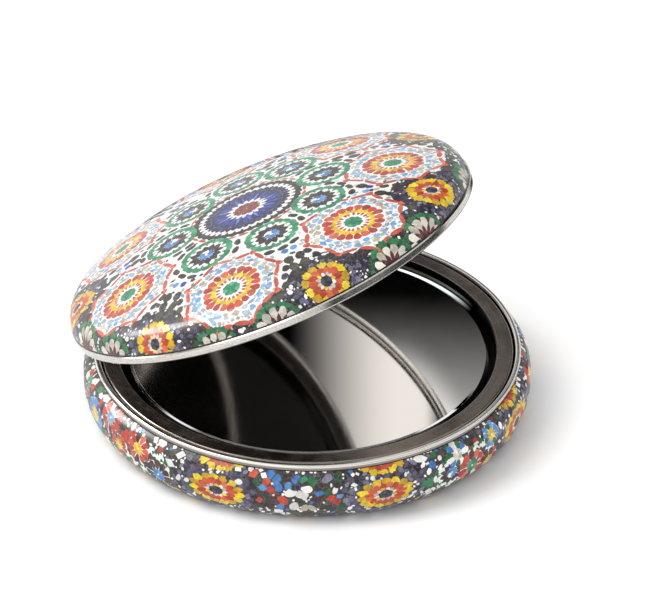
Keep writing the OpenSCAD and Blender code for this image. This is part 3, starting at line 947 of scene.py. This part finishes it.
def lay_base():
    depth = lambda z: float(np.interp(-z, -side_profile.p[:, 1], side_profile.s))
    sill, head = -depth(SILL_H), -depth(HEAD_H)
    window = [(0, sill), (WINDOW_W, sill), (WINDOW_W, head), (SLOT_W, head), (SLOT_W, 0)]
    guides = [[(x, -v) for x in np.arange(0, STRIP_L + 0.6, 1.2)] for v in np.arange(0.3, STRIP_D, 0.45)]
    guides += [window, [(STRIP_L - x, y) for x, y in window]]

    def ground(x, y):
        """Stone grey between the flowers, plum behind and below them."""
        between = min(abs(x - along(a)) for a in BASE_SUNS) > SUN_HALF_W and y > DEEP_V
        return GAPS if between else PLUM[3]

    border = [(0, 0), (0, -STRIP_D), (STRIP_L, -STRIP_D), (STRIP_L, 0)]
    flat, tris = cut_sheet(base_drawing, border, guides, ground)

    def kept(f):
        x, y = flat[list(f)].mean(0)
        x = min(x, STRIP_L - x)
        return not (x < WINDOW_W and sill < y < head) and not (x < SLOT_W and y > sill)

    tris = [(f, c) for f, c in tris if kept(f)]
    points, normals = side_profile.wrap(-flat[:, 1], flat[:, 0] / CASE_R + math.pi / 2)
    return skin("base_mosaic", points, normals, tris, (flat + (0, STRIP_D)) / STRIP_L, "base")


base_mosaic = lay_base()
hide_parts("base_print")

# %% [markdown]
# ## The finish of the print
# The tiles' colours come from the faces. On the real tin they are printed with a little mottling,
# as glaze has, and lie under clear lacquer. So the finish multiplies the darker colours by a soft
# cloudy pattern and a finer grain, adds patches of pale grout, and puts a thin smooth coat over it.

# %% Printed and lacquered tin
def printed_tin():
    f = Finish("printed_tin")
    here = f.place()
    cloud = f.noise(here, 1.0, 4.0, 0.6).ramp(0.3, 0.7, 0.66, 1.08)
    grain = f.noise(here, 4.5, 2.0).ramp(0.25, 0.75, 0.82, 1.12)
    glaze = f.add("Gamma", None, {0: f.add("VertexColor", {"layer_name": "glaze"}), 1: 1.2})
    red, green, blue = f.add("SeparateColor", None, {0: glaze}, (0, 1, 2))
    depth = (red + green + blue).ramp(1.9, 2.5, 1.0, 0.2)
    tone = f.tinted(1 + (cloud * grain - 1) * depth)
    edge = f.add("TexVoronoi", {"feature": "DISTANCE_TO_EDGE"}, {"Vector": here, "Scale": 1.5})
    grout = (1 - edge.ramp(0.02, 0.1)) * f.noise(here, 0.8, 2.0).ramp(0.35, 0.65, 0.0, 0.3)
    f.set(Base_Color=f.blend(grout, f.blend(1.0, glaze, tone, "MULTIPLY"), colour("#98928a")),
          Roughness=0.45, Specular_IOR_Level=0.3, Coat_Weight=0.3, Coat_Roughness=0.06)
    f.give("lid_mosaic", "base_mosaic")


printed_tin()

# %% [markdown]
# ## Lines that run round
# The metal parts were turned or rolled, so their fine lines run round the case. Such lines are
# noise in radius and height alone. Both are worked out from a point's place, after the lid's points
# have been carried back to the closed case.

# %% Lines round the case
def around(f, lid=False):
    """Radius and height of a point, in millimetres, and its angle round the case."""
    spot = f.add("TexCoord", out="Object")
    if lid:
        back_home = lid_matrix.inverted()
        spot = f.add("Mapping", {"vector_type": "POINT"}, {
            "Vector": spot, "Location": back_home.translation * MM, "Rotation": back_home.to_euler()})
    x, y, z = f.split(spot)
    return (x * x + y * y) ** 0.5 / MM, z / MM, f.add("Math", {"operation": "ARCTAN2"}, {0: y, 1: x})


print("the lid's points go back by", [round(x, 2) for x in lid_matrix.inverted().translation])

# %% [markdown]
# ## Metals
# The base has a bright bead and a dark bezel, the lid a satin band and a narrow lip, and the tin
# is bare inside and underneath. These metals differ in colour, in how rough they are and in how
# clearly their lines show. A bezel's inner wall and the foot of a bead lie in shade, and that shade
# is painted into their colour as darker tones. The band's edges are rolled over, which a bump
# stands for.

# %% Turned and rolled metals
# The third value is a painted shade colour for a bezel's inner wall.
LINES_PER_MM, LINE_RELIEF, WALL_PAINTED_SHADE = 9, 0.0072, colour("#17130f")


def metal(name, nodes, base, rough, lid=False, line=1.0, speck=0.0, rough_spread=0.1, wall=0.0,
          painted_shade_bands=(), edges=()):
    """Turned or rolled metal, with painted shade inside the radius wall and below each band's height.
    Beyond the two heights of edges it is rolled over, so that it catches light from above and below."""
    f = Finish(name)
    radius, height, angle = around(f, lid)
    # painted shade: inside the wall's radius the colour darkens to near black
    if wall:
        base = f.blend(radius.ramp(wall, wall + 0.25), WALL_PAINTED_SHADE, base)
    # painted shade: each band darkens the colour below its height
    for low, high, below in reversed(painted_shade_bands):
        base = f.blend(height.ramp(low, high), colour(below), base)
    roll = 0.0
    for past in (height - edges[1], edges[0] - height) if edges else ():
        roll = past.at_least(0.0) * 0.9 + roll
    rings = {0: radius * LINES_PER_MM, 1: height * LINES_PER_MM, 2: angle * 1.5}
    lines = f.noise(f.add("CombineXYZ", None, rings), 1.0, 3.0)
    grain = f.noise(f.place(), 7.0, 2.0)
    smear = f.noise(f.place(), 0.25, 2.0)
    tone = (lines.ramp(0.25, 0.75, 1 - 0.12 * line, 1 + 0.08 * line)
            * grain.ramp(0.3, 0.7, 1 - speck, 1 + speck / 2))
    f.set(Base_Color=f.blend(1.0, base, f.tinted(tone), "MULTIPLY"), Metallic=1.0,
          Roughness=smear.ramp(0.3, 0.7, rough - rough_spread / 2, rough + rough_spread / 2)
          + lines.ramp(0.3, 0.7, -0.03, 0.03),
          Normal=f.bump((lines * 0.7 + grain * speck) * LINE_RELIEF - roll, MM))
    f.give(*nodes)


# the bead's two bands are painted shade, darker towards its foot
metal("bright_bead", ["base_rim"], colour("#dcd8d3"), 0.16, line=0.8,
      painted_shade_bands=((9.72, 9.86, "#2e2723"), (10.12, 10.3, "#8b847d")))
metal("satin_band", ["lid_rim"], colour("#cdc9c3"), 0.17, lid=True, speck=0.35, rough_spread=0.06,
      edges=(0.22, 1.16))
# wall=29.62 paints shade on the bezel's inner wall
metal("base_bezel_metal", ["base_bezel"], colour("#847b74"), 0.24, line=1.6, speck=0.2, wall=29.62)
metal("lid_lip_metal", ["lid_bezel"], colour("#b7b2ac"), 0.16, lid=True, speck=0.4)
metal("bare_tin", ["base_shell"], colour("#a9a8a6"), 0.3)
metal("bare_tin_lid", ["lid_shell"], colour("#a9a8a6"), 0.3, lid=True)
metal("hinge_steel", ["base_hinge_leaf", "lid_hinge_leaf", "hinge_pin", "base_rivet_1", "base_rivet_2"],
      colour("#b9b8b5"), 0.3, speck=0.15)
metal("magnet_plating", ["base_magnet", "lid_magnet"], colour("#bcbcc0"), 0.2)

# %% [markdown]
# ## Mirrors
# A mirror is silvered glass: nearly all light comes back, with no colour of its own. The base's
# glass has a ground bevel that looks into the dark recess. That dark reflection is painted into
# the bevel's colour, which is dark grey. Radius tells flat face and bevel apart, and a thin line
# beside the bevel, where the grinding wheel rounded the glass, catches the light in front. The
# lid's glass is plain. It gives back a little less, so reflections of reflections between the two
# mirrors die away as in the photo.

# %% Mirror glass
# The second colour is a painted reflection of the dark recess, for the bevel.
SILVER, BEVEL_DARK_REFLECTION, DULL_SILVER = glazes("#f3f1ef", "#3a3938", "#c9c6c3")
ARRIS_W, ARRIS_SLOPE, ARRIS_FRONT = 0.5, 0.36, math.radians(172)


def bevelled_glass():
    f = Finish("bevelled_silvered_glass")
    radius, _, angle = around(f)
    flat_r = GLASS_R - BEVEL_W
    bevel = radius.ramp(flat_r - 0.02, flat_r + 0.02)
    front = (angle + ARRIS_FRONT).cosine().ramp(0.0, 0.45)
    arris = radius.ramp(flat_r - ARRIS_W, flat_r - ARRIS_W + 0.04) * (1 - bevel) * front
    haze = f.noise(f.place(), 0.12, 3.0).ramp(0.35, 0.75, 0.038, 0.055)
    rise = (radius - (flat_r - ARRIS_W)).at_least(0.0)
    # painted reflection: the bevel's base colour is dark grey to stand for the dark recess it shows
    f.set(Base_Color=f.blend(bevel, SILVER, BEVEL_DARK_REFLECTION), Metallic=1.0,
          Roughness=haze + bevel * 0.12 + arris * 0.04, Normal=f.bump(rise * arris * ARRIS_SLOPE, MM))
    f.give("base_mirror")


def plain_glass():
    f = Finish("silvered_glass")
    haze = f.noise(f.place(), 0.12, 3.0).ramp(0.35, 0.75, 0.045, 0.065)
    f.set(Base_Color=DULL_SILVER, Metallic=1.0, Roughness=haze)
    f.give("lid_mirror")


bevelled_glass()
plain_glass()

# %% [markdown]
# ## Trays and pads
# The trays are black moulded plastic with a faint grain, and the pads behind the glass are white
# foam tape. Both are hidden at rest, but someone who takes the case apart will see them.

# %% Moulded trays and foam pads
def moulded(name, nodes, base, rough, depth):
    f = Finish(name)
    pores = f.noise(f.place(), 3.0, 4.0)
    f.set(Base_Color=f.blend(pores, base, [c * 0.7 for c in base[:3]] + [1]),
          Roughness=pores.ramp(0.3, 0.7, rough - 0.05, rough + 0.08), Normal=f.bump(pores, depth * MM))
    f.give(*nodes)


moulded("black_plastic", ["base_tray", "lid_tray"], colour("#161617"), 0.3, 0.01)
moulded("white_foam", ["base_pad", "lid_pad"], colour("#e6e4de"), 0.8, 0.05)

# %% [markdown]
# ## The camera
# The photo was taken with a long lens from far away: both round mouths look like true ellipses. So
# the camera stands 1.4 m off, and its lens is worked out from how many pixels a millimetre takes.

# %% The camera
AZ, EL, ROLL = (math.radians(degrees) for degrees in (-62.3, 33.3, 0.7))
DISTANCE, PIXELS_PER_MM, PHOTO_W, SENSOR_W = 1.4, 6.397, 645, 36
AIM_H, AIM_RIGHT, AIM_UP = 9.2, 2.296, 7.193


def new_camera():
    lens = bpy.data.cameras.new("camera")
    lens.sensor_width, lens.clip_end = SENSOR_W, 50
    lens.lens = PIXELS_PER_MM * DISTANCE / MM * SENSOR_W / PHOTO_W
    obj = bpy.data.objects.new("camera", lens)
    bpy.context.scene.collection.objects.link(obj)
    bpy.context.scene.camera = obj
    print("lens:", round(lens.lens, 1))
    return obj


back = Vector((math.sin(AZ) * math.cos(EL), -math.cos(AZ) * math.cos(EL), math.sin(EL)))
right = Vector((math.cos(AZ), math.sin(AZ), 0))
up = back.cross(right)
aim = Vector((0, 0, AIM_H)) + right * AIM_RIGHT + up * AIM_UP
upright = Matrix([[*right, 0], [*up, 0], [*back, 0], [0, 0, 0, 1]]).transposed()
camera = new_camera()
camera.matrix_world = (Matrix.Translation(aim * MM + back * DISTANCE)
                       @ Matrix.Rotation(ROLL, 4, back) @ upright)

# %% [markdown]
# ## Table and studio
# The table is matt white and runs out past the picture. Away from the case it glows a little for
# the camera and for reflections, so the background is white without more light on the object, and
# the glow starts far enough out to leave the soft shadow at the foot.

# %% The table
TABLE_HALF, GLOW_FROM, GLOW_WIDTH, LEE_FROM, LEE_WIDTH, GLOW = 4, 31.0, 3.5, 4.5, 5.5, 0.27


def sheet_of(name, corners, where=None):
    mesh = bpy.data.meshes.new(name)
    mesh.from_pydata(corners, [], [tuple(range(len(corners)))])
    obj = bpy.data.objects.new(name, mesh)
    bpy.context.scene.collection.objects.link(obj)
    if where is not None:
        obj.matrix_world = where
    return obj


def white_paper():
    """White, with a glow that starts further out on the lee side, where the shadow lies."""
    f = Finish("white_table")
    reach, _, angle = around(f)
    lee = (angle - AZ).cosine().ramp(0.0, 1.0)
    out = (reach - GLOW_FROM - LEE_FROM * lee) / (GLOW_WIDTH + LEE_WIDTH * lee)
    glow = f.seen() * out.ramp(0.0, 1.0, 0.0, GLOW)
    f.set(Base_Color=f.blend(f.noise(f.place(), 0.4, 3.0), colour("#fbfbfb"), colour("#f7f7f7")),
          Roughness=0.8, Specular_IOR_Level=0.1, Emission_Strength=1.0,
          Emission_Color=f.blend(glow, (0, 0, 0, 1), (1, 1, 1, 1)))
    return f.material


corners = [(x * TABLE_HALF, y * TABLE_HALF, 0) for x, y in ((-1, -1), (1, -1), (1, 1), (-1, 1))]
table = sheet_of("table", corners)
table.data.materials.append(white_paper())
print("table:", 2 * TABLE_HALF, "m wide")

# %% [markdown]
# ## The world
# The world is the white cove round the table. The camera, metal and glass see it at strength 1,
# and matt surfaces get 0.8 of it, so that white glaze keeps its drawing.

# %% The world
MATT_LEVEL = 0.8


def white_cove():
    world = bpy.data.worlds.new("studio")
    cove = Finish(owner=world, shader="Background")
    cove.set(Color=(1, 1, 1, 1), Strength=cove.seen().ramp(0.0, 1.0, MATT_LEVEL, 1.0))
    return world


bpy.context.scene.world = white_cove()
bpy.context.scene.view_settings.view_transform = "Standard"
print("matt surfaces get", MATT_LEVEL, "of the world's light")

# %% [markdown]
# ## Two soft lamps
# A large square lamp at the left makes the soft shadow on the right, and a weaker one in front
# fills it. Large lamps near the object give soft edges, as a photographer's tent does.

# %% Softboxes
LAMP_AIM = Vector((0, 0, 10 * MM))


def softbox(name, where, size, watts):
    lamp = bpy.data.lights.new(name, "AREA")
    lamp.shape, lamp.size, lamp.energy = "SQUARE", size, watts
    obj = bpy.data.objects.new(name, lamp)
    bpy.context.scene.collection.objects.link(obj)
    obj.location = where
    obj.rotation_mode = "QUATERNION"
    obj.rotation_quaternion = (LAMP_AIM - where).to_track_quat("-Z", "Y")
    print(name, "lamp at", [round(x, 2) for x in where])


def from_camera(azimuth, elevation, distance):
    """A place by its angle round from the camera, anticlockwise seen from above, and its height."""
    a = math.atan2(back.y, back.x) + math.radians(azimuth)
    e = math.radians(elevation)
    return Vector((math.cos(a) * math.cos(e), math.sin(a) * math.cos(e), math.sin(e))) * distance


softbox("key", from_camera(-75, 55, 0.9), 0.5, 2.6)
softbox("front", from_camera(-20, 30, 1.2), 0.6, 1.0)

# %% [markdown]
# ## What the mirrors see
# A mirror has no look of its own: it shows what stands round it. In a studio that is done with
# cards. One card stands behind the case, where the mirror looks past the lid. Its light grows
# upwards, and the mirror turns it over, so that it fades from grey in front to black behind. One
# lies on the table behind the case on the right, where the two mirrors look after a second
# reflection, and a black one hangs over it for the third and fourth. A low dark wall on the right
# gives bead, band and bezel something dark to show, and a bright card opposite lays a sheen on the
# lacquer. Reflections alone see the cards, so they throw no light and no shadow.

# %% Cards for reflections
CARD_TINT = (1, 0.985, 0.965)


def unlit(obj, glow):
    """A black finish with the glow that a function adds to it, seen by reflections alone."""
    obj.visible_camera = obj.visible_diffuse = obj.visible_shadow = False
    f = Finish(obj.name)
    f.set(Base_Color=(0, 0, 0, 1), Roughness=1.0, Specular_IOR_Level=0.0, Emission_Strength=1.0,
          Emission_Color=glow(f))
    obj.data.materials.append(f.material)


def card(name, where, low, high, level):
    """A card between two corners, whose level is a number or changes with the place on it."""
    corners = (low, (high[0], low[1]), high, (low[0], high[1]))
    obj = sheet_of(name, [(x * MM, y * MM, 0) for x, y in corners], where)
    if callable(level):
        unlit(obj, lambda f: f.tinted(level(*f.split(f.place())[:2]), CARD_TINT))
    else:
        unlit(obj, lambda f: [level * share for share in CARD_TINT] + [1])
    print("card:", name)


def facing(direction, distance):
    """A frame that stands across a direction, at a distance in millimetres from the part."""
    d = Vector(direction).normalized()
    e1 = Vector((0, 0, 1)).cross(d).normalized()
    e2 = d.cross(e1)
    return (Matrix.Translation(d * distance * MM)
            @ Matrix([[*e1, 0], [*e2, 0], [*d, 0], [0, 0, 0, 1]]).transposed())


def fading(u, v):
    """Light that grows upwards, with a brighter patch at the upper right."""
    rise = ((v + 3.0) / 24).clamped() ** 1.45
    patch = v.ramp(4, 14) * (1 - (u * -0.807 + v * -0.59).ramp(4.5, 12.0))
    return rise * 0.46 + patch * 0.6


def patch_on_table(u, v):
    across = u * 0.653 + v * -0.757
    return across.ramp(23.0, 49.0) * (1 - across.ramp(54.0, 59.0)) * 1.62


def sheen(u, v):
    return (u * u * 1.8 + v * v * 0.5).ramp(500, 9000, 26.0, 0.0)


card("fading_card", facing((0.7441, 0.377, 0.5515), 300), (-75, -60), (55, 60), fading)
card("table_card", Matrix.Translation((0, 0, 0.3 * MM)), (37, -95), (125, 60), patch_on_table)
card("black_card", facing((0.7312, -0.1926, 0.6544), 260), (-60, -70), (90, 60), 0.012)
card("dark_wall", facing((0.087, -0.996, 0.06), 350), (-300, -18), (300, 75), 0.03)
card("sheen_card", facing((-0.2, 0.8, 0.5), 300), (-110, -140), (110, 140), sheen)

# %% [markdown]
# ## The bright line on the bevel
# On the far side the ground bevel catches a lamp and shows a short bright line that fades to both
# ends. A lamp there would light everything, so a curved strip that only reflections see stands
# beside the bevel. A shade over it hides it from the lid's mirror.

# %% A catch light beside the mirror
STRIP_FROM, STRIP_TO, STRIP_R = -34, 6, 29.46
STRIP_LOW, STRIP_HIGH, STRIP_TINT = 8.7, 9.22, (5.0, 5.5, 5.4)


def catch_light(steps=24):
    """A curved strip beside the bevel, bright in its middle, under a narrow black shade."""
    ring = [math.radians(STRIP_FROM + (STRIP_TO - STRIP_FROM) * i / steps) for i in range(steps + 1)]
    section = ((STRIP_R, STRIP_LOW), (STRIP_R, STRIP_HIGH), (STRIP_R - BEVEL_W, STRIP_HIGH))
    mesh = bpy.data.meshes.new("catch_light")
    mesh.from_pydata([(r * math.cos(a) * MM, r * math.sin(a) * MM, z * MM) for a in ring for r, z in section],
                     [], [(i, i + 1, i + 4, i + 3) for j in range(steps) for i in (3 * j, 3 * j + 1)])
    obj = bpy.data.objects.new("catch_light", mesh)
    bpy.context.scene.collection.objects.link(obj)
    unlit(obj, strip_glow)
    print("catch light strip:", len(mesh.polygons), "faces")


def strip_glow(f):
    _, height, angle = around(f)
    turn = angle * (180 / math.pi)
    ends = turn.ramp(STRIP_FROM, STRIP_FROM + 14) * (1 - turn.ramp(STRIP_TO - 10, STRIP_TO))
    return f.tinted(ends * (height < STRIP_HIGH - 0.02), STRIP_TINT)


catch_light()

# %% [markdown]
